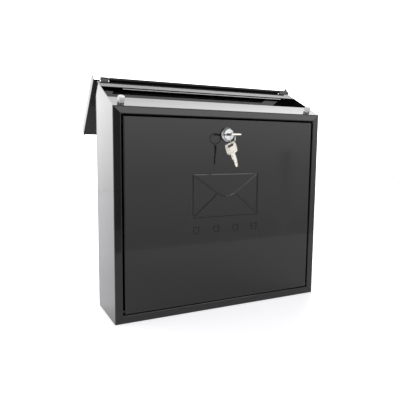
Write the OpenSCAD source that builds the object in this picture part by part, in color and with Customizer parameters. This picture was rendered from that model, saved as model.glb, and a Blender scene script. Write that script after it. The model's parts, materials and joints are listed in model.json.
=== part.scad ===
// Wall mounted mailbox: a folded steel box with a sloped top, a full-width lid on rolled hinges
// over the mail slot, and a drop-down front door with a cam lock, two keys and a split ring.
//
// Axes: X to the right, Y from the front towards the wall, Z up, in millimetres.
// Origin: the centre of the four wall-screw holes, on the back face of the box.
// Every sub-part is drawn from the box's bottom front edge, and place() moves it to that origin.

/* [Box] */
// Width over the side panels
body_w = 370; // [340:1:400]
// Depth from the front frame to the wall
body_d = 98; // [96:0.5:110]
// Height of the front
front_h = 322.3; // [300:0.1:340]
// Slope of the top, in degrees
slope = 26.1; // [24:0.1:28]
// Length of the sloped part of the top, from front to rear
slope_len = 100; // [98:0.5:102]
// Thickness of the steel sheet
sheet = 1; // [0.8:0.1:1.2]
// Inside radius of every fold
bend_r = 0.6; // [0.5:0.1:1]

/* [Front frame] */
// Width of the frame at each side of the door
frame_side = 12.5; // [10:0.5:16]
// Height of the frame above the door
frame_top = 11.1; // [10:0.1:14]
// Height of the frame below the door
frame_bottom = 12.7; // [10:0.1:14]
// Depth of the jamb that is folded in round the door
jamb = 10; // [9:0.5:12]
// Width of the sloped strip in front of the slot
strip_front = 36; // [30:0.5:38]
// Width of the mail slot, along the slope
slot_w = 42; // [38:0.5:44]
// How far the guard plate reaches into the slot from its rear edge
guard_reach = 6; // [4:0.5:8]

/* [Wall screws] */
// Distance between the wall-screw holes, side to side
screw_span_x = 280; // [200:1:300]
// Distance between the wall-screw holes, up and down
screw_span_z = 200; // [150:1:220]
// Height of the middle of the hole pattern above the base
screw_mid_z = 160; // [140:1:170]
// Radius of each wall-screw hole
screw_hole_r = 3.5; // [2.5:0.1:4.5]

/* [Lid] */
// Width over the lid's side flanges
lid_w = 379; // [377:0.5:382]
// Length of the lid from its hinge axis to the drip flange
lid_len = 119.6; // [116:0.1:126]
// Depth of the lid's flanges
lid_flange = 16; // [12:0.5:18]
// Angle that the lid hangs below the horizontal when it is laid back
lid_hang = 45.5; // [40:0.5:46]
// Height of the lid's hinge axis above the base
lid_axis_z = 371; // [370:0.1:372]
// Distance of each rest bumper from the middle of the box
bumper_x = 169; // [160:1:172]
// Distance of each rest bumper from the front edge, along the slope
bumper_s = 15.5; // [12:0.5:20]
// Height of each rest bumper
bumper_h = 8.8; // [8:0.1:10]
// Radius of each rest bumper
bumper_r = 5.15; // [4:0.05:6]

/* [Door] */
// Gap between the door and the frame at each side
door_gap_side = 2.7; // [2:0.1:3.5]
// Gap between the door and the frame above it
door_gap_top = 2.7; // [2:0.1:3.5]
// Gap between the door and the frame below it
door_gap_bottom = 1.2; // [1.2:0.1:2]
// Outer radius of the door's folded edges
door_edge_r = 1.6; // [1.5:0.1:2.4]
// Width of the pressed lines of the envelope emblem
press_w = 3; // [2.4:0.1:3.2]
// Depth of the pressed lines
press_d = 0.6; // [0.4:0.1:0.7]

/* [Lock and keys] */
// Height of the lock above the base
lock_z = 285; // [280:1:288]
// How far the lock stands out of the door
bezel_h = 7; // [6:0.5:8]
// Length of the cam from the lock's axis to its tip
cam_len = 34; // [32:0.5:36]
// Radius of the split ring, to the middle of its wire
ring_r = 8.5; // [8:0.1:9]
// Tilt of the hanging spare key from the vertical, in degrees
spare_tilt = 21.7; // [19:0.1:24]

/* [Hidden] */
$fn = 64;

eps = 0.01;
bend_steps = 8;                    // facets round each bend
seam = 0.25;                       // half of the open seam at each mitred corner
half_w = body_w / 2;
inner_w = half_w - sheet;          // half-width between the side panels
open_w = half_w - frame_side;      // half-width of the door opening
open_top = front_h - frame_top;
weld_flange = 13;                  // flanges that the back panel is welded to
slot_lip = 8;                      // edge folded down along the front of the mail slot
guard_half = 150;
guard_weld = 12;                   // width of the guard plate under the rear strip
catch_lip = 7;                     // edge folded up behind the top jamb, which the cam locks behind
black = [0.05, 0.05, 0.055];
steel = [0.78, 0.78, 0.80];

// Hinge of the lid: a curl rolled round two pins, just above the rear edge of the sloped top
lid_axis_y = body_d - 3.5;
pin_r = 1.55;
curl_bore_r = pin_r + 0.05;
curl_r = curl_bore_r + sheet;
lid_stop_gap = 0.44;               // between the lid that is laid back and the bevel it stops against
curl_half = 164.3;
bracket_in = 165.7;
bracket_out = 178;
bracket_r = 2.8;
pin_grip = 20;                     // length of the pin that the bracket and the curl hold

// The slope ends at a level ledge under the hinge, and the bevel behind the ledge lies on the
// line y + z = bevel_sum
ledge_y = slope_len * cos(slope);
ledge_z = front_h + slope_len * sin(slope);
bevel_sum = lid_axis_y + lid_axis_z - (curl_r + lid_stop_gap) * sqrt(2);
bevel_y = bevel_sum - ledge_z;
slot_rear_s = strip_front + slot_w;
slot_rear_y = slot_rear_s * cos(slope);
slot_rear_z = front_h + slot_rear_s * sin(slope);
back_panel_y = body_d - sheet;

// Hinge of the door, in its bottom edge
door_half = open_w - door_gap_side;
door_bottom = frame_bottom + door_gap_bottom;
door_top = open_top - door_gap_top;
door_depth = 10;
door_axis_y = 4;
door_axis_z = door_bottom + 4;
door_pin_r = 2;
door_pin_head_r = 2.4;

// Lock
lock_r = 8;
rim_r = 9;                         // the collar round the plug, and the rose behind it
rose_r = 11.3;
rose_y = -3;
lock_washer_r = 11;
nut_r = 12.5;
nut_h = 4;
plug_r = 6.25;
plug_face_y = 0.4 - bezel_h;
housing_end_y = 9.5;
keyway_end_y = 9;
tail_w = 7;
cam_y = jamb + 0.7;
cam_t = 2;
cam_w = 15;
cam_washer_t = 0.8;
cam_screw_r = 1.7;

// Keys: each is drawn with its shoulder at the origin, its tip towards +Y and its bow towards -Y
key_t = 2;
blade_w = 7.5;
blade_len = 15.4;
bow_end_y = -23.3;
bow_slot_y = -19;
bow_slot_half = 6.4;
bow_slot_r = 1.8;
ring_wire_r = 0.6;
ring_turn = 33;                    // the ring's plane, in degrees from the door's
ring_drop = 6.2;                   // height of the inserted key above the ring's centre
ring_mid_x = -6;
spare_turn = -66.7;                // direction in which the spare key leans
// The point of the spare key that hangs on the ring, at the end of its slot
spare_grip = [bow_slot_half - bow_slot_r, bow_slot_y - bow_slot_r + ring_wire_r + 0.05];
key_y = plug_face_y - 0.1;
// The ring hangs over the land between the inserted key's slot and the end of its bow
ring_c = [ring_mid_x, key_y + (bow_end_y + bow_slot_y - bow_slot_r) / 2, lock_z - ring_drop];

// ---- helpers ----

module place() translate([0, -body_d, -screw_mid_z]) children();

module mirrored(left) { if (left) mirror([1, 0, 0]) children(); else children(); }

// Extrudes a profile drawn in Y and Z along X, or one drawn in X and Z along Y
module along_x(x0, x1) translate([x0, 0, 0]) rotate([90, 0, 90]) linear_extrude(x1 - x0) children();
module along_y(y0, y1) translate([0, y1, 0]) rotate([90, 0, 0]) linear_extrude(y1 - y0) children();

module rod_x(r, x0, x1) translate([x0, 0, 0]) rotate([0, 90, 0]) cylinder(r = r, h = x1 - x0);
module rod_y(r, y0, y1) translate([0, y0, 0]) rotate([-90, 0, 0]) cylinder(r = r, h = y1 - y0);

// A folded sheet's outer face, on the left of its path, starts along +X, runs through corners that
// are runs[] apart and turns by turns[] at them
function along(heading) = [cos(heading), sin(heading)];
function left_of(heading) = [-sin(heading), cos(heading)];
function heading(turns, i) = i == 0 ? 0 : heading(turns, i - 1) + turns[i - 1];
function corner(runs, turns, i) =
  i == 0 ? [0, 0] : corner(runs, turns, i - 1) + runs[i - 1] * along(heading(turns, i - 1));
// Radius from a bend's centre to the outer face, negative where the sheet folds towards that face
function bend_radius(turn) = turn < 0 ? bend_r + sheet : -bend_r;
function bend_centre(runs, turns, i) =
  corner(runs, turns, i + 1) - abs(bend_radius(turns[i])) * tan(abs(turns[i]) / 2) * along(heading(turns, i))
  - bend_radius(turns[i]) * left_of(heading(turns, i));
// Points of the face that lies off to the left of the outer face, round every bend
function face(runs, turns, off) = concat(
  [off * left_of(0)],
  [for (i = [0:len(turns) - 1], k = [0:bend_steps])
    bend_centre(runs, turns, i)
    + (bend_radius(turns[i]) + off) * left_of(heading(turns, i) + turns[i] * k / bend_steps)],
  [corner(runs, turns, len(runs)) + off * left_of(heading(turns, len(turns)))]
);
module folded(runs, turns) {
  inner = face(runs, turns, -sheet);
  polygon(concat(face(runs, turns, 0), [for (i = [len(inner) - 1:-1:0]) inner[i]]));
}

// Outline of the box seen from the side
module side_outline() {
  polygon([[0, 0], [body_d, 0], [body_d, bevel_sum - body_d], [bevel_y, ledge_z], [ledge_y, ledge_z],
           [0, front_h]]);
}

// Everything above the mitre of a top corner, or below the mitre of a bottom corner, moved by gap
module top_mitre(gap) {
  rise = frame_top / frame_side;
  far = 2 * front_h;
  polygon([[open_w - frame_side, open_top - frame_top + gap],
           [inner_w, open_top + (inner_w - open_w) * rise + gap], [inner_w, far],
           [open_w - frame_side, far]]);
}
module bottom_mitre(gap) {
  fall = frame_bottom / frame_side;
  polygon([[open_w - frame_side, 2 * frame_bottom - gap],
           [inner_w, frame_bottom - (inner_w - open_w) * fall - gap], [inner_w, -frame_side],
           [open_w - frame_side, -frame_side]]);
}
module lid_frame() translate([0, lid_axis_y, lid_axis_z]) rotate([-lid_hang, 0, 0]) children();
module on_slope(s) translate([0, s * cos(slope), front_h + s * sin(slope)]) rotate([slope, 0, 0]) children();
module at_lock() translate([0, 0, lock_z]) children();
module at_door_pin() translate([0, door_axis_y, door_axis_z]) children();

// ---- box ----

// One side: weld flange, side, front flange and jamb in one folded sheet, mitred at the front corners
module side_panel() {
  weld_top = ledge_z - weld_flange - 7;
  difference() {
    intersection() {
      translate([half_w - weld_flange, back_panel_y, 0])
        linear_extrude(2 * front_h)
          folded([weld_flange, back_panel_y, frame_side, jamb], [-90, -90, -90]);
      along_x(0, body_w) side_outline();
    }
    along_y(-eps, jamb + 1) { top_mitre(-seam); bottom_mitre(-seam); }
    translate([0, back_panel_y - weld_flange, weld_top]) cube([inner_w, weld_flange + sheet, front_h]);
    translate([0, back_panel_y - weld_flange, -1])
      cube([inner_w, weld_flange + sheet, 1 + bend_r + sheet + seam]);
    at_door_pin() rod_x(door_pin_r, open_w - 1, open_w + 2);
  }
}

module left_side_panel() color(black) place() mirrored(true) side_panel();
module right_side_panel() color(black) place() side_panel();

module bottom_panel() color(black) place() difference() {
  along_x(-inner_w, inner_w)
    translate([back_panel_y, weld_flange]) rotate(-90)
      folded([weld_flange, back_panel_y, frame_bottom, jamb], [-90, -90, -90]);
  for (left = [false, true]) mirrored(left) {
    along_y(-eps, jamb + 1) difference() {
      translate([open_w, 0]) square(2 * frame_bottom);
      bottom_mitre(seam);
    }
    translate([half_w - weld_flange - seam, back_panel_y - weld_flange, bend_r + sheet])
      cube([weld_flange, weld_flange + 1, weld_flange]);
  }
}

module back_panel() color(black) place() difference() {
  intersection() {
    translate([-half_w, back_panel_y, 0]) cube([body_w, sheet, 2 * front_h]);
    along_x(-half_w, half_w) side_outline();
  }
  for (x = [-1, 1], z = [-1, 1])
    translate([x * screw_span_x / 2, 0, screw_mid_z + z * screw_span_z / 2])
      rod_y(screw_hole_r, back_panel_y - 1, body_d + 1);
}

// Head of the door frame: catch lip, jamb, front flange, sloped strip and slot edge in one sheet
module top_front_rail() color(black) place() difference() {
  along_x(-inner_w, inner_w)
    translate([jamb, open_top + catch_lip]) rotate(-90)
      folded([catch_lip, jamb, frame_top, strip_front, slot_lip], [-90, -90, slope - 90, -90 - slope]);
  for (left = [false, true]) mirrored(left)
    along_y(-eps, jamb + 1) difference() {
      translate([open_w, open_top - 1]) square([frame_side, frame_top + 1]);
      top_mitre(seam);
    }
}

// Rear of the top: sloped strip, hinge ledge, bevel that the open lid stops against, and weld flange
module top_rear_rail() color(black) place() {
  bevel_len = (back_panel_y - bevel_y) * sqrt(2);
  along_x(-inner_w, inner_w)
    translate([slot_rear_y, slot_rear_z]) rotate(slope)
      folded([slope_len - slot_rear_s, bevel_y - ledge_y, bevel_len, weld_flange], [-slope, -45, -45]);
}

// Flat plate welded under the rear strip, which narrows the slot in its middle
module slot_guard() color(black) place() along_x(-guard_half, guard_half)
  translate([slot_rear_y, slot_rear_z]) rotate(slope)
    translate([-guard_reach, -2 * sheet]) square([guard_reach + guard_weld, sheet]);

module lid_hinge_bracket(left) color(black) place() mirrored(left) difference() {
  along_x(bracket_in, bracket_out) {
    translate([lid_axis_y, lid_axis_z]) circle(bracket_r);
    translate([lid_axis_y - bracket_r, ledge_z])
      square([bevel_y - lid_axis_y + bracket_r, lid_axis_z - ledge_z]);
  }
  translate([0, lid_axis_y, lid_axis_z]) rod_x(pin_r, bracket_in - 1, bracket_out + 1);
}
module lid_hinge_bracket_left() lid_hinge_bracket(true);
module lid_hinge_bracket_right() lid_hinge_bracket(false);

// Pin from inside the lid's curl, through the bracket, with a flat head outside it
module lid_hinge_pin(left) color(steel) place() mirrored(left) translate([0, lid_axis_y, lid_axis_z]) {
  rod_x(pin_r, bracket_out - pin_grip, bracket_out);
  rod_x(pin_r + 0.85, bracket_out, bracket_out + 0.7);
}
module lid_hinge_pin_left() lid_hinge_pin(true);
module lid_hinge_pin_right() lid_hinge_pin(false);

// Clear soft bumper, rounded over at the top and dimpled in the middle
module bumper(left) color([0.9, 0.92, 0.9, 0.6]) place() mirrored(left)
  translate([bumper_x, 0, 0]) on_slope(bumper_s) rotate_extrude() difference() {
    round_r = 1.4;
    union() {
      square([bumper_r, bumper_h - round_r]);
      square([bumper_r - round_r, bumper_h]);
      translate([bumper_r - round_r, bumper_h - round_r]) circle(round_r);
    }
    translate([-bumper_r, 0]) square([bumper_r, bumper_h]);
    translate([0, bumper_h - 2]) square([1.6, 3]);
  }
module bumper_left() bumper(true);
module bumper_right() bumper(false);

// Pin pressed through the jamb, on which the door's side flange turns
module door_hinge_pin(left) color(steel) place() mirrored(left) at_door_pin() {
  rod_x(door_pin_r, door_half - 4, open_w + sheet);
  rod_x(door_pin_head_r, open_w + sheet, open_w + sheet + 1.5);
}
module door_hinge_pin_left() door_hinge_pin(true);
module door_hinge_pin_right() door_hinge_pin(false);

// ---- lid ----

// Drawn laid back: local Y runs from the hinge axis to the drip flange, local Z to the inner side
module lid_panel() color(black) place() lid_frame() {
  lid_half = lid_w / 2;
  flat_half = lid_half - bend_r - sheet;
  notch_len = 8;
  flange_top = lid_flange - curl_r;
  difference() {
    union() {
      along_x(-flat_half, flat_half)
        translate([lid_len, flange_top]) rotate(-90) folded([lid_flange, lid_len], [-90]);
      for (left = [false, true]) mirrored(left) {
        along_y(1, lid_len)
          translate([lid_half, flange_top]) rotate(-90) folded([lid_flange, bend_r + sheet + 1], [-90]);
        translate([flat_half - 1, lid_len - sheet, bend_r + sheet - curl_r])
          cube([2, sheet, lid_flange - bend_r - sheet]);
      }
    }
    for (left = [false, true]) mirrored(left) {
      translate([curl_half, -notch_len, -lid_flange])
        cube([bracket_out + 1 - curl_half, 2 * notch_len, 2 * lid_flange]);
      translate([curl_half, -notch_len, -lid_flange])
        cube([lid_half - curl_half, notch_len + 1, 2 * lid_flange]);
    }
  }
  along_x(-curl_half, curl_half) difference() {
    circle(curl_r);
    circle(curl_bore_r);
    polygon(curl_bore_r * [[0, -1], [4, -1], [4, -0.45], [0.9, -0.45]]);
  }
}

// ---- door ----

module block_outline(half, depth, r) {
  translate([-half, r]) square([2 * half, depth - r]);
  translate([r - half, 0]) square([2 * (half - r), r]);
  for (side = [-1, 1]) translate([side * (half - r), r]) circle(r);
}

// Block with its front edges rounded, from the inset faces back to depth
module door_block(inset, depth, r) {
  half_h = (door_top - door_bottom) / 2 - inset;
  translate([0, inset, (door_top + door_bottom) / 2]) intersection() {
    translate([0, 0, -half_h]) linear_extrude(2 * half_h) block_outline(door_half - inset, depth, r);
    rotate([0, 90, 0]) translate([0, 0, -door_half]) linear_extrude(2 * door_half)
      block_outline(half_h, depth, r);
  }
}

module bar(a, b, w) {
  d = b - a;
  translate(a) rotate(atan2(d[1], d[0])) translate([0, -w / 2]) square([norm(d), w]);
  translate(a) circle(w / 2);
  translate(b) circle(w / 2);
}

// Envelope outline with its flap and folds, and a row of four plain squares below it, as lines
// from point to point with the length that each runs on past its ends
emblem_half = 59.5;
emblem_low = 155;
emblem_high = 223;
tip_x = 16;
tip_z = 192;
tip_sag = 4.3;
tip_steps = 4;
tip_r = (tip_x * tip_x + tip_sag * tip_sag) / (2 * tip_sag);
tip_a = asin(tip_x / tip_r);
mark = 4.6;
mark_z = 135;
mark_gap = 36;
press_floor_w = 0.8;
corner_run = 0.9;
joint_run = 0.45;
function tip_point(k) = let (a = tip_a * (2 * k / tip_steps - 1))
  [tip_r * sin(a), tip_z - tip_sag + tip_r * (1 - cos(a))];
emblem_lines = concat(
  [for (side = [-1, 1]) each [
    [[side * emblem_half, emblem_low], [side * emblem_half, emblem_high], corner_run],
    [[side * emblem_half, emblem_high], [side * tip_x, tip_z], joint_run],
    [[side * emblem_half, emblem_low], [side * (tip_x + 2), tip_z - 1.5], joint_run]]],
  [for (z = [emblem_low, emblem_high]) [[-emblem_half, z], [emblem_half, z], corner_run]],
  [for (k = [0:tip_steps - 1]) [tip_point(k), tip_point(k + 1), joint_run]],
  [for (i = [-1.5, -0.5, 0.5, 1.5], side = [-1, 1]) each [
    [[i * mark_gap + side * mark, mark_z - mark], [i * mark_gap + side * mark, mark_z + mark], corner_run],
    [[i * mark_gap - mark, mark_z + side * mark], [i * mark_gap + mark, mark_z + side * mark], corner_run]]]
);
function press_half(y) = press_w / 2 - (press_w - press_floor_w) / 2 * y / press_d;

module door_panel() color(black) place() difference() {
  union() {
    difference() {
      door_block(0, door_depth, door_edge_r);
      door_block(sheet, door_depth, door_edge_r - sheet);
    }
    along_y(sheet - eps, sheet + press_d) for (line = emblem_lines) bar(line[0], line[1], press_w);
  }
  for (line = emblem_lines) let (d = line[1] - line[0])
    translate([line[0][0], 0, line[0][1]]) rotate([0, -atan2(d[1], d[0]), 0])
      along_x(-line[2], norm(d) + line[2])
        polygon([[-press_d, -press_half(-press_d)], [press_d, -press_half(press_d)],
                 [press_d, press_half(press_d)], [-press_d, press_half(-press_d)]]);
  at_lock() rod_y(lock_r, -1, sheet + 1);
  at_door_pin() rod_x(door_pin_r + 0.05, -body_w, body_w);
}

// ---- lock ----

module lock_housing() color(steel) place() at_lock() rotate([-90, 0, 0]) rotate_extrude() difference() {
  union() {
    polygon([[0, -bezel_h], [rim_r - 0.6, -bezel_h], [rim_r - 0.1, 0.5 - bezel_h], [rim_r, rose_y - 2.2],
             [rose_r - 0.3, rose_y], [rose_r, rose_y + 0.6], [rose_r, 0], [0, 0]]);
    square([lock_r, housing_end_y]);
  }
  translate([0, -bezel_h - 1]) square([plug_r + 0.05, bezel_h + housing_end_y + 2]);
}

module lock_washer() color(steel) place() at_lock() difference() {
  rod_y(lock_washer_r, sheet, 2 * sheet);
  rod_y(lock_r, 0, 3 * sheet);
}

module lock_nut() color(steel) place() at_lock() difference() {
  translate([0, 2 * sheet, 0]) rotate([-90, 0, 0]) cylinder(r = nut_r, h = nut_h, $fn = 6);
  rod_y(lock_r, 0, housing_end_y);
}

// Plug that the key turns, with a square tail for the cam
module lock_plug() color(steel) place() at_lock() difference() {
  union() {
    rod_y(plug_r, plug_face_y, housing_end_y + 0.1);
    translate([-tail_w / 2, housing_end_y, -tail_w / 2])
      cube([tail_w, cam_y + cam_t - housing_end_y, tail_w]);
  }
  translate([-blade_w / 2 - 0.15, plug_face_y - 1, -key_t / 2 - 0.1])
    cube([blade_w + 0.3, keyway_end_y - plug_face_y + 1, key_t + 0.2]);
  rod_y(cam_screw_r, keyway_end_y + 0.6, cam_y + cam_t + 1);
}

// At rest the cam points to the left, unlocked; a quarter turn puts its tip behind the top catch lip
module lock_cam() color(steel) place() at_lock() along_y(cam_y, cam_y + cam_t) difference() {
  union() {
    circle(cam_w / 2);
    translate([cam_w / 2 - cam_len, -cam_w / 2]) square([cam_len - cam_w / 2, cam_w]);
    translate([cam_w / 2 - cam_len, 0]) circle(cam_w / 2);
  }
  square(tail_w, center = true);
}

module cam_washer() color(steel) place() at_lock() difference() {
  rod_y(5.5, cam_y + cam_t, cam_y + cam_t + cam_washer_t);
  rod_y(cam_screw_r + 0.1, cam_y, cam_y + 2 * cam_t);
}

module cam_screw() color(steel) place() at_lock() {
  head_y = cam_y + cam_t + cam_washer_t;
  difference() {
    union() {
      rod_y(cam_screw_r, keyway_end_y + 1, head_y);
      rod_y(3.6, head_y, head_y + 2.2);
    }
    for (turn = [0, 90]) rotate([0, turn, 0]) translate([-2.2, head_y + 1, -0.4]) cube([4.4, 2, 0.8]);
  }
}

// ---- keys ----

module key_blank() difference() {
  translate([0, 0, -key_t / 2]) linear_extrude(key_t) difference() {
    union() {
      hull() for (side = [-1, 1], c = [[7.6, bow_end_y + 2], [8.2, -15.5], [7.8, -10], [5, -8]])
        translate([side * c[0], c[1]]) circle(2, $fn = 32);
      translate([-blade_w / 2, -8]) square([blade_w, 8]);
      polygon([[-blade_w / 2, 0], [blade_w / 2, 0], [blade_w / 2, 4.4], [2.9, 5.6], [2.9, 6.4], [3.5, 7.2],
               [2.4, 9], [2.4, 9.8], [3, 10.8], [2.2, 12.4], [2.2, 13.2], [1.5, blade_len],
               [-0.7, blade_len], [-2.1, 12.6], [-1.5, 11.6], [-1.5, 10.8], [-2.5, 9.4], [-1.3, 7.8],
               [-1.3, 7.1], [-2.8, 5.4], [-2.1, 4.4], [-2.1, 3.6], [-blade_w / 2, 2]]);
    }
    for (side = [-1, 1]) translate([side * (bow_slot_half - bow_slot_r), bow_slot_y]) circle(bow_slot_r);
    translate([bow_slot_r - bow_slot_half, bow_slot_y - bow_slot_r])
      square([2 * (bow_slot_half - bow_slot_r), 2 * bow_slot_r]);
  }
  for (face = [-1, 1]) translate([-1.9, -3, face * key_t / 2 - 0.35])
    cube([1.2, blade_len + 4, 0.7]);
}

module key() color(steel) place() translate([0, key_y, lock_z]) key_blank();

module key_ring() color(steel) place() translate(ring_c) rotate([90, 0, ring_turn])
  rotate_extrude() translate([ring_r, 0]) circle(ring_wire_r);

module spare_key() color(steel) place() translate(ring_c - [0, 0, ring_r])
  rotate([0, 0, spare_turn]) rotate([0, -spare_tilt, 0]) rotate([-90, 0, 0])
    translate([-spare_grip[0], -spare_grip[1], 0]) key_blank();

// ---- nodes ----

left_side_panel();
right_side_panel();
bottom_panel();
back_panel();
top_front_rail();
top_rear_rail();
slot_guard();
lid_hinge_bracket_left();
lid_hinge_bracket_right();
lid_hinge_pin_left();
lid_hinge_pin_right();
bumper_left();
bumper_right();
door_hinge_pin_left();
door_hinge_pin_right();
lid_panel();
door_panel();
lock_housing();
lock_washer();
lock_nut();
lock_plug();
lock_cam();
cam_washer();
cam_screw();
key();
key_ring();
spare_key();
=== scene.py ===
"""Looks for the wall mounted mailbox: gloss black steel, chrome lock, keys on a split ring and a
studio stage. Lengths are in metres unless a name or comment says millimetres."""

import json
import math

import bmesh
import bpy
from mathutils import Matrix, Vector


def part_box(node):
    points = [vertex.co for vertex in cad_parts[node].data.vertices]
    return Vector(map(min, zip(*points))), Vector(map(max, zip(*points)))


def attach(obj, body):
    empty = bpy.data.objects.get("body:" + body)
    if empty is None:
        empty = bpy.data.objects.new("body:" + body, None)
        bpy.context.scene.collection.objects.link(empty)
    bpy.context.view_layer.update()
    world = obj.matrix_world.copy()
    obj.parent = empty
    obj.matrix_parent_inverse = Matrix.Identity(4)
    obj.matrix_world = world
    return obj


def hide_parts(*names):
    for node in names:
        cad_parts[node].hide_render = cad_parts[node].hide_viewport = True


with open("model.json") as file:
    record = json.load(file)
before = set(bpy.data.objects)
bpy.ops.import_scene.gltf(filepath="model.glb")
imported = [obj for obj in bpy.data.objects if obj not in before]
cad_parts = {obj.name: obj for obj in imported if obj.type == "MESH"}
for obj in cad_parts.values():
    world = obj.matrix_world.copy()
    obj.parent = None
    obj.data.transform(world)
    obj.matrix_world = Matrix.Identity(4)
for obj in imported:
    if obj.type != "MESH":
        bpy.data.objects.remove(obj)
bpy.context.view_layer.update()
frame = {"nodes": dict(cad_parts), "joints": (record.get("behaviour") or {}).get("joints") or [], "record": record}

MM = 0.001

# The photograph's camera: place, turn from +Y, tilt and roll in degrees, lens and sensor in mm
CAMERA_AT = (-0.35588, -0.72558, 0.10751)
CAMERA_YAW, CAMERA_PITCH, CAMERA_ROLL = 26.216, -6.945, 0.564
CAMERA_LENS, CAMERA_SENSOR, CAMERA_NEAR = 40.292, 36, 0.01

# Edge bevels in millimetres, by material slot. The door's is small, to fit its pressed lines.
BEVEL_MM = {"black_paint": 0.3, "clear_bumper": 0.5, "lock_chrome": 0.25, "key_nickel": 0.25}
OTHER_BEVEL_MM, DOOR_BEVEL_MM = 0.15, 0.13
BEVEL_FROM_DEGREES = 35
FLAT_FACE_WEIGHT = 100

# Powder coat: linear colours, roughness range, noise scales, bump strengths and heights
PAINT_DARK, PAINT_LIGHT = (0.0075, 0.0075, 0.008), (0.0105, 0.0105, 0.011)
DUST_COLOUR = (0.035, 0.034, 0.033, 1)
PAINT_ROUGHNESS = (0.05, 0.09)
PATCH_SCALE, DUST_SCALE, WAVE_SCALE, PEEL_SCALE = 9, 1900, 60, 420
DUST_FROM, DUST_FULL = 0.70, 0.80
WAVE_BUMP, PEEL_BUMP = (0.25, 0.00012), (0.10, 0.00004)

# The middle part of a noise's range, over which roughness is spread
CLOUD_LOW, CLOUD_HIGH = 0.3, 0.7

# Table: its sides, the glow that the camera sees all over, and the glow that lights the box, which
# rises from the first to the second strength between two places on Y
TABLE_X, TABLE_Y = (-1.9, 2.4), (-0.55, 1.85)
TABLE_SEEN_GLOW = 0.5
TABLE_GLOW_Y, TABLE_GLOW = (-0.15, 0.0), (0.15, 0.45)
TABLE_DARK, TABLE_LIGHT = (0.80, 0.80, 0.83), (0.82, 0.82, 0.85)

ROOM_LIGHT = 0.4

# Studio cards: name, width and height, middle, point faced, then points of height on the card and
# strength. A place is given as X, Y and height above the table.
CARDS = (
    ("backdrop", (5.6, 3.4), (0, 1.9, 1.5), (0, 0, 1.5),
     ((-1.5, 1.9), (-1.0, 2.95), (0.72, 1.5), (1.05, 4.3))),
    ("left_wall", (3.6, 2.6), (-2.3, 0.6, 1.1), (0, 0, 1.1), ((0, 2.5),)),
    ("front_wall", (2.9, 3.4), (1.8, -2.6, 0.6), (1.8, 0, 0.6),
     ((-1.02, 0.8), (-0.70, 1.0), (-0.54, 1.06), (-0.22, 1.45), (-0.1, 1.6), (0.1, 2.5),
      (0.35, 2.5), (0.5, 0.3))),
    ("stand", (0.09, 1.12), (1.93, -2.5, -0.33), (1.93, 0, -0.33), ((0, 0.88),)),
    ("camera_side", (3.2, 2.2), (-1.25, -2.6, 1.0), (-1.25, 0, 0.9), ((0, 0.3),)),
    ("flag", (0.14, 0.9), (-0.095, -0.8, 0.46), (-0.095, 0, 0.46), ((0, 0.2),)),
    ("ceiling", (4.6, 3.6), (0, 0, 2.6), (0, 0, 0), ((0, 0.3),)),
    ("softbox", (2.6, 1.1), (0.8, -1.3, 2.3), (0, 0, 0.3), ((0, 3.2),)),
)


# ---------------------------------------------------------------- places, from the frame


def corners(node):
    low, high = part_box(node)
    return Vector(low), Vector(high)


def joint(name):
    return next(j for j in frame["joints"] if j["name"] == name)


def centre(node):
    low, high = corners(node)
    return (low + high) / 2


BASE_Z = corners("bottom_panel")[0].z
UP = Vector((0, 0, 1))

# Split ring: its plane holds the swing axis and the vertical
RING_C = centre("key_ring")
RING_ALONG = Vector(joint("ring_swing")["axis"])
RING_SIDE = UP.cross(RING_ALONG)
WIRE_R = 0.6 * MM
RING_R = (corners("key_ring")[1].z - corners("key_ring")[0].z) / 2 - WIRE_R

# Keys, in millimetres and their own axes: shoulder at the origin, tip towards +Y, bow towards -Y
BOW_END = -23.3
BOW_HALF = 10.0
BOW_SLOT_Y = -19.0
SLOT_HALF = 6.4
SLOT_R = 1.8
KEY_T = 2.0
SPARE_TURN = math.radians(-66.7)
SPARE_TILT = math.radians(21.7)
GRIP_GAP = 0.05
SPARE_GRIP = Vector((SLOT_HALF - SLOT_R, BOW_SLOT_Y - SLOT_R + WIRE_R / MM + GRIP_GAP, 0))
KEY_PLACE = Matrix.Translation((0, corners("key")[0].y - BOW_END * MM, centre("key").z))
SPARE_PLACE = (Matrix.Translation(joint("spare_key_swing")["pos_m"])
               @ Matrix.Rotation(SPARE_TURN, 4, "Z") @ Matrix.Rotation(-SPARE_TILT, 4, "Y")
               @ Matrix.Rotation(-math.pi / 2, 4, "X") @ Matrix.Translation(-SPARE_GRIP * MM))


# ---------------------------------------------------------------- node helpers


def new_material(name):
    material = bpy.data.materials.new(name)
    material.use_nodes = True
    nodes = material.node_tree.nodes
    return material, nodes, material.node_tree.links, nodes["Principled BSDF"]


def object_coords(nodes, links, scale=(1, 1, 1)):
    coords = nodes.new("ShaderNodeTexCoord")
    mapping = nodes.new("ShaderNodeMapping")
    mapping.inputs["Scale"].default_value = scale
    links.new(coords.outputs["Object"], mapping.inputs["Vector"])
    return mapping.outputs["Vector"]


def noise(nodes, links, vector, scale, detail=2.0, roughness=0.5):
    node = nodes.new("ShaderNodeTexNoise")
    node.inputs["Scale"].default_value = scale
    node.inputs["Detail"].default_value = detail
    node.inputs["Roughness"].default_value = roughness
    links.new(vector, node.inputs["Vector"])
    return node.outputs["Fac"]


def remap(nodes, links, value, low, high, to_low, to_high):
    node = nodes.new("ShaderNodeMapRange")
    node.inputs["From Min"].default_value = low
    node.inputs["From Max"].default_value = high
    node.inputs["To Min"].default_value = to_low
    node.inputs["To Max"].default_value = to_high
    links.new(value, node.inputs["Value"])
    return node.outputs["Result"]


def cloudy(nodes, links, cloud, low, high):
    """A value that follows the middle part of a noise from low to high."""
    return remap(nodes, links, cloud, CLOUD_LOW, CLOUD_HIGH, low, high)


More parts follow.
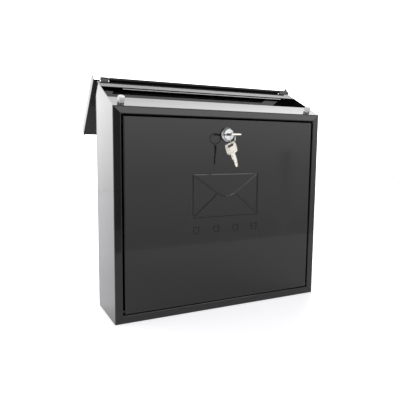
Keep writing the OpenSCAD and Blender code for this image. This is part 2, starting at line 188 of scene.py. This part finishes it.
def bump(nodes, links, height, strength, distance, normal=None):
    node = nodes.new("ShaderNodeBump")
    node.inputs["Strength"].default_value = strength
    node.inputs["Distance"].default_value = distance
    links.new(height, node.inputs["Height"])
    if normal is not None:
        links.new(normal, node.inputs["Normal"])
    return node.outputs["Normal"]


def colour_mix(nodes, links, factor, dark, light):
    node = nodes.new("ShaderNodeMix")
    node.data_type = "RGBA"
    links.new(factor, node.inputs["Factor"])
    node.inputs["A"].default_value = (*dark, 1)
    node.inputs["B"].default_value = (*light, 1)
    return node.outputs["Result"]


# ---------------------------------------------------------------- materials


def black_paint(name="black_powder_coat", lean=None, ior=1.5):
    """Gloss black powder coat: orange peel, uneven gloss and fine dust. lean tips the shading normals
    a little, which turns what the sheet mirrors. The sheet itself stays square."""
    material, nodes, links, shader = new_material(name)
    place = object_coords(nodes, links)
    patches = noise(nodes, links, place, PATCH_SCALE, 3)
    dust = remap(nodes, links, noise(nodes, links, place, DUST_SCALE, 1), DUST_FROM, DUST_FULL, 0, 1)
    shade = colour_mix(nodes, links, patches, PAINT_DARK, PAINT_LIGHT)
    speckled = nodes.new("ShaderNodeMix")
    speckled.data_type = "RGBA"
    links.new(dust, speckled.inputs["Factor"])
    links.new(shade, speckled.inputs["A"])
    speckled.inputs["B"].default_value = DUST_COLOUR
    links.new(speckled.outputs["Result"], shader.inputs["Base Color"])
    links.new(cloudy(nodes, links, patches, *PAINT_ROUGHNESS), shader.inputs["Roughness"])
    tipped = None
    if lean:
        geometry = nodes.new("ShaderNodeNewGeometry")
        shift = nodes.new("ShaderNodeVectorMath")
        shift.inputs[1].default_value = lean
        links.new(geometry.outputs["Normal"], shift.inputs[0])
        square = nodes.new("ShaderNodeVectorMath")
        square.operation = "NORMALIZE"
        links.new(shift.outputs["Vector"], square.inputs[0])
        tipped = square.outputs["Vector"]
    waves = bump(nodes, links, noise(nodes, links, place, WAVE_SCALE, 1), *WAVE_BUMP, tipped)
    peel = bump(nodes, links, noise(nodes, links, place, PEEL_SCALE, 1), *PEEL_BUMP, waves)
    links.new(peel, shader.inputs["Normal"])
    shader.inputs["IOR"].default_value = ior
    return material


def plated(name, dark, light, rough_low, rough_high, scratch=0.15):
    """Plated metal with small cloudy changes of gloss and fine scratches."""
    material, nodes, links, shader = new_material(name)
    place = object_coords(nodes, links)
    cloud = noise(nodes, links, place, 260, 3)
    links.new(colour_mix(nodes, links, cloud, dark, light), shader.inputs["Base Color"])
    links.new(cloudy(nodes, links, cloud, rough_low, rough_high), shader.inputs["Roughness"])
    streaks = noise(nodes, links, object_coords(nodes, links, (6, 1, 0.6)), 900, 2)
    links.new(bump(nodes, links, streaks, scratch, 0.00003), shader.inputs["Normal"])
    shader.inputs["Metallic"].default_value = 1.0
    return material


def clear_plastic():
    """Soft plastic, milky clear."""
    material, nodes, links, shader = new_material("clear_bumper_plastic")
    place = object_coords(nodes, links)
    cloud = noise(nodes, links, place, 300, 2)
    tint = colour_mix(nodes, links, cloud, (0.93, 0.94, 0.93), (0.99, 0.99, 0.98))
    links.new(tint, shader.inputs["Base Color"])
    links.new(cloudy(nodes, links, cloud, 0.10, 0.22), shader.inputs["Roughness"])
    shader.inputs["Transmission Weight"].default_value = 0.15
    shader.inputs["IOR"].default_value = 1.42
    return material


# plated() takes the darkest and lightest colour, the roughness range and the scratches' strength
MATERIALS = {
    "black_paint": black_paint(),
    "pin_steel": plated("pin_steel", (0.28, 0.28, 0.29), (0.38, 0.38, 0.39), 0.22, 0.36),
    "clear_bumper": clear_plastic(),
    "lock_chrome": plated("lock_chrome", (0.54, 0.55, 0.57), (0.62, 0.62, 0.63), 0.07, 0.16, 0.05),
    "zinc_hardware": plated("zinc_hardware", (0.52, 0.53, 0.55), (0.66, 0.67, 0.69), 0.25, 0.42),
    "key_nickel": plated("key_nickel", (0.74, 0.70, 0.62), (0.84, 0.80, 0.73), 0.20, 0.32, 0.08),
    "ring_steel": plated("ring_steel", (0.74, 0.72, 0.68), (0.84, 0.82, 0.78), 0.16, 0.28, 0.05),
}
# Blackened steel for the door's hinge pins. The same dark material is painted shade on the plate round the keyway.
BLACK_PIN_AND_SHADE = plated("black_pin_and_keyway_shade", (0.045, 0.045, 0.05), (0.08, 0.08, 0.085), 0.30, 0.45)
# Nodes whose look differs from their slot's: tipped normals, a lid that mirrors less as painted shade, and
# blackened pins
OWN_MATERIALS = {
    "left_side_panel": black_paint("black_powder_coat_left", (-0.07, 0, 0)),
    "top_front_rail": black_paint("black_powder_coat_top", (0, -0.025, 0.051)),
    # The lid's copy of the paint mirrors less, which paints it darker as painted shade
    "lid_panel": black_paint("black_powder_coat_lid_shaded", ior=1.35),
    "door_hinge_pin_left": BLACK_PIN_AND_SHADE,
    "door_hinge_pin_right": BLACK_PIN_AND_SHADE,
}


def dress_frame():
    """Gives every CAD node its material, and a small bevel so that its edges catch the light."""
    for entry in frame["record"]["subparts"]:
        name, slot = entry["node"], entry["material_slot"]
        node = frame["nodes"][name]
        node.data.materials.clear()
        node.data.materials.append(OWN_MATERIALS.get(name, MATERIALS[slot]))
        bevel = node.modifiers.new("edge", "BEVEL")
        width = DOOR_BEVEL_MM if name == "door_panel" else BEVEL_MM.get(slot, OTHER_BEVEL_MM)
        bevel.width = width * MM
        bevel.segments = 2
        bevel.limit_method = "ANGLE"
        bevel.angle_limit = math.radians(BEVEL_FROM_DEGREES)
        node.data.shade_smooth()
        even = node.modifiers.new("even_shading", "WEIGHTED_NORMAL")
        even.weight = FLAT_FACE_WEIGHT


# ---------------------------------------------------------------- pieces


def add_piece(name, data, slot, body, place=Matrix(), material=None):
    """Puts a finished mesh or curve in the scene, riding on its body. Its material is its slot's,
    unless another one is given."""
    piece = bpy.data.objects.new(name, data)
    bpy.context.collection.objects.link(piece)
    piece.matrix_world = place
    data.materials.append(material or MATERIALS[slot])
    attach(piece, body)
    return piece


def rounded(points, radius, steps=6):
    """A closed outline with every corner turned into an arc."""
    outline = []
    for i, point in enumerate(points):
        here = Vector(point)
        before = (Vector(points[i - 1]) - here).normalized()
        after = (Vector(points[(i + 1) % len(points)]) - here).normalized()
        half = before.angle(after) / 2
        reach = radius / math.tan(half)
        middle = here + (before + after).normalized() * (radius / math.sin(half))
        start, end = here + before * reach - middle, here + after * reach - middle
        turn = start.angle_signed(end)
        for k in range(steps + 1):
            angle = -turn * k / steps
            outline.append(middle + Vector((start.x * math.cos(angle) - start.y * math.sin(angle),
                                            start.x * math.sin(angle) + start.y * math.cos(angle))))
    return outline


def bridge(mesh, first, second):
    """Joins two closed loops of vertices with quads."""
    for k in range(len(first)):
        n = (k + 1) % len(first)
        mesh.faces.new((first[k], second[k], second[n], first[n]))


def finished(mesh, name):
    """Turns a bmesh into mesh data with its normals outwards."""
    bmesh.ops.recalc_face_normals(mesh, faces=mesh.faces)
    data = bpy.data.meshes.new(name)
    mesh.to_mesh(data)
    mesh.free()
    return data


def split_ring():
    """Two turns of flattened spring wire, side by side, with square ends and a short crossover."""
    turns, steps = 2, 128
    thick, wide, round_r, coil_gap = 0.54 * MM, 1.05 * MM, 0.14 * MM, 0.03 * MM
    pitch = thick + coil_gap
    cross, lead = math.radians(40), math.pi / 3
    # The wire's section: a rectangle with a quarter turn of three steps at each corner
    section = []
    for side, up in ((1, 1), (-1, 1), (-1, -1), (1, -1)):
        middle = Vector((side * (wide / 2 - round_r), up * (thick / 2 - round_r)))
        start = math.atan2(up, side) - math.pi / 4
        turned = [start + k * math.pi / 6 for k in range(4)]
        section += [middle + round_r * Vector((math.cos(a), math.sin(a))) for a in turned]
    mesh = bmesh.new()
    loops = []
    for i in range(turns * steps + 1):
        angle = 2 * math.pi * i / steps
        # The wire stays in its own plane for most of each turn, and steps across in a short bend
        within = angle - math.pi
        share = min(max((within + cross / 2) / cross, 0), 1) if i < turns * steps else 1
        smooth = share * share * (3 - 2 * share)
        shift = (smooth - 0.5) * pitch
        out = RING_ALONG * math.sin(angle + lead) + UP * math.cos(angle + lead)
        middle = RING_C + RING_R * out + shift * RING_SIDE
        loops.append([mesh.verts.new(middle + p.x * out + p.y * RING_SIDE) for p in section])
    for first, second in zip(loops, loops[1:]):
        bridge(mesh, first, second)
    mesh.faces.new(loops[0])
    mesh.faces.new(reversed(loops[-1]))
    data = finished(mesh, "split_ring")
    data.shade_smooth()
    ring = add_piece("split_ring", data, "ring_steel", "ring")
    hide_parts("key_ring")


def lock_thread():
    """The cut thread that shows on the lock's barrel behind its nut."""
    barrel, nut = corners("lock_housing"), corners("lock_nut")
    axis, radius, pitch, per_turn = centre("lock_plug"), 7.95 * MM, 0.9 * MM, 48
    ridge, nut_gap, end_gap = 0.24 * MM, 0.4 * MM, 0.3 * MM
    start, end = nut[1].y + nut_gap, barrel[1].y - end_gap
    steps = int(per_turn * (end - start) / pitch)
    data = bpy.data.curves.new("lock_thread", "CURVE")
    data.dimensions = "3D"
    data.bevel_depth = ridge
    data.bevel_resolution = 2
    data.use_fill_caps = True
    spline = data.splines.new("POLY")
    spline.points.add(steps)
    for i, spot in enumerate(spline.points):
        angle = 2 * math.pi * i / per_turn
        spot.co = (axis.x + radius * math.cos(angle), start + pitch * i / per_turn,
                   axis.z + radius * math.sin(angle), 1)
    add_piece("lock_thread", data, "zinc_hardware", "door")


def keyway_painted_shade():
    """A dark plate set in the face of the plug round the keyway, which the key passes through: painted shade where
    the key's blade enters the plug.
    """
    half_w, half_h, hole_w, hole_h = 4.7 * MM, 1.9 * MM, 3.85 * MM, 1.08 * MM
    thick, chamfer, depth, roundness = 0.12 * MM, 0.15 * MM, 0.5 * MM, 0.8
    mesh = bmesh.new()
    face_y = corners("lock_plug")[0].y
    middle = centre("lock_plug")
    rings = []
    for wide, high, y in ((half_w, half_h, face_y + depth), (half_w, half_h, face_y - thick / 2),
                          (half_w - chamfer, half_h - chamfer, face_y - thick),
                          (hole_w, hole_h, face_y - thick), (hole_w, hole_h, face_y + depth)):
        outline = rounded([(-wide, -high), (wide, -high), (wide, high), (-wide, high)],
                          high * roundness)
        rings.append([mesh.verts.new((middle.x + p.x, y, middle.z + p.y)) for p in outline])
    for first, second in zip(rings, rings[1:] + rings[:1]):
        bridge(mesh, first, second)
    data = finished(mesh, "keyway_painted_shade")
    add_piece("keyway_painted_shade", data, "lock_chrome", "plug", material=BLACK_PIN_AND_SHADE)


def bow_rim(name, place, body):
    """The raised border that is stamped on both faces of a key's bow."""
    inset, taper, round_r, rim, sunk = 1.5, 0.4, 1.6, 0.32 * MM, 0.08
    half, end = BOW_HALF - inset, BOW_END + inset
    # One side of the bow's outline, from its end to its neck, and then the same side mirrored
    side = [(half - taper, end), (half, -15.5), (half - 0.3, -10), (half - 3.4, -8)]
    outline = rounded([(taper - half, end)] + side + [(-x, y) for x, y in side[:0:-1]], round_r)
    data = bpy.data.curves.new(name, "CURVE")
    data.dimensions = "3D"
    data.bevel_depth = rim
    data.bevel_resolution = 3
    for face in (-1, 1):
        spline = data.splines.new("POLY")
        spline.use_cyclic_u = True
        spline.points.add(len(outline) - 1)
        for point, spot in zip(outline, spline.points):
            spot.co = (point.x * MM, point.y * MM, face * (KEY_T / 2 - sunk) * MM, 1)
    add_piece(name, data, "key_nickel", body, place)


# ---------------------------------------------------------------- stage


def glow(name, ramp):
    """A glow whose strength follows straight lines through (height on the card, strength) points."""
    material = bpy.data.materials.new(name)
    material.use_nodes = True
    nodes, links = material.node_tree.nodes, material.node_tree.links
    nodes.clear()
    out = nodes.new("ShaderNodeOutputMaterial")
    light = nodes.new("ShaderNodeEmission")
    light.inputs["Strength"].default_value = ramp[0][1]
    links.new(light.outputs["Emission"], out.inputs["Surface"])
    split = nodes.new("ShaderNodeSeparateXYZ")
    links.new(object_coords(nodes, links), split.inputs["Vector"])
    total = None
    for (low, weak), (high, strong) in zip(ramp, ramp[1:]):
        part = remap(nodes, links, split.outputs["Y"], low, high, 0 if total else weak,
                     strong - weak if total else strong)
        if total:
            add = nodes.new("ShaderNodeMath")
            links.new(total, add.inputs[0])
            links.new(part, add.inputs[1])
            part = add.outputs["Value"]
        total = part
    if total:
        links.new(total, light.inputs["Strength"])
    return material


def flat_board(name, x_sides, y_sides):
    """A flat rectangle in the scene, with its sides at these places on its own X and Y."""
    (left, right), (low, high) = x_sides, y_sides
    mesh = bpy.data.meshes.new(name)
    mesh.from_pydata([(left, low, 0), (right, low, 0), (right, high, 0), (left, high, 0)],
                     [], [(0, 1, 2, 3)])
    board = bpy.data.objects.new(name, mesh)
    bpy.context.collection.objects.link(board)
    return board


def above_table(place):
    x, y, height = place
    return Vector((x, y, BASE_Z + height))


def card(name, size, middle, facing, ramp):
    """A flat glowing studio card with its middle at one point, facing another."""
    half_w, half_h = size[0] / 2, size[1] / 2
    board = flat_board(name, (-half_w, half_w), (-half_h, half_h))
    turn = (above_table(facing) - above_table(middle)).to_track_quat("Z", "Y")
    board.matrix_world = Matrix.Translation(above_table(middle)) @ turn.to_matrix().to_4x4()
    board.data.materials.append(glow(name, ramp))


def floor():
    """A plain white table that glows. It glows less in front of the box, but not for the camera, so
    that the door mirrors little of it."""
    board = flat_board("table_top", TABLE_X, TABLE_Y)
    board.location = (0, 0, BASE_Z)
    material, nodes, links, shader = new_material("table_white")
    place = object_coords(nodes, links)
    split = nodes.new("ShaderNodeSeparateXYZ")
    links.new(place, split.inputs["Vector"])
    tint = colour_mix(nodes, links, noise(nodes, links, place, 3), TABLE_DARK, TABLE_LIGHT)
    links.new(tint, shader.inputs["Base Color"])
    shader.inputs["Roughness"].default_value = 0.5
    shader.inputs["Emission Color"].default_value = (1, 1, 1, 1)
    seen = nodes.new("ShaderNodeLightPath")
    share = nodes.new("ShaderNodeMath")
    share.operation = "MULTIPLY"
    share.inputs[1].default_value = TABLE_SEEN_GLOW
    links.new(seen.outputs["Is Camera Ray"], share.inputs[0])
    lit = nodes.new("ShaderNodeMath")
    lit.operation = "MAXIMUM"
    links.new(share.outputs["Value"], lit.inputs[0])
    depth = remap(nodes, links, split.outputs["Y"], *TABLE_GLOW_Y, *TABLE_GLOW)
    links.new(depth, lit.inputs[1])
    links.new(lit.outputs["Value"], shader.inputs["Emission Strength"])
    board.data.materials.append(material)


def studio():
    """An even glow from all round, and the cards that the gloss paint mirrors."""
    shade = bpy.data.worlds.new("studio")
    bpy.context.scene.world = shade
    shade.use_nodes = True
    background = shade.node_tree.nodes["Background"]
    background.inputs["Color"].default_value = (1, 1, 1, 1)
    background.inputs["Strength"].default_value = ROOM_LIGHT
    for entry in CARDS:
        card(*entry)


def camera():
    """The photograph's viewpoint."""
    lens = bpy.data.cameras.new("camera")
    lens.lens = CAMERA_LENS
    lens.sensor_width = CAMERA_SENSOR
    lens.clip_start = CAMERA_NEAR
    view = bpy.data.objects.new("camera", lens)
    bpy.context.collection.objects.link(view)
    yaw, pitch, roll = (math.radians(a) for a in (CAMERA_YAW, CAMERA_PITCH, CAMERA_ROLL))
    forward = Vector((math.sin(yaw) * math.cos(pitch), math.cos(yaw) * math.cos(pitch),
                      math.sin(pitch)))
    level = Vector((math.cos(yaw), -math.sin(yaw), 0))
    upright = level.cross(forward)
    right = math.cos(roll) * level + math.sin(roll) * upright
    top = math.cos(roll) * upright - math.sin(roll) * level
    turn = Matrix((right, top, -forward)).transposed().to_4x4()
    view.matrix_world = Matrix.Translation(CAMERA_AT) @ turn
    bpy.context.scene.camera = view


dress_frame()
split_ring()
lock_thread()
# Painted shade round the keyway: a dark plate in the face of the plug
keyway_painted_shade()
bow_rim("key_bow_rim", KEY_PLACE, "key")
bow_rim("spare_key_bow_rim", SPARE_PLACE, "spare")
floor()
studio()
camera()
bpy.context.scene.view_settings.view_transform = "Standard"
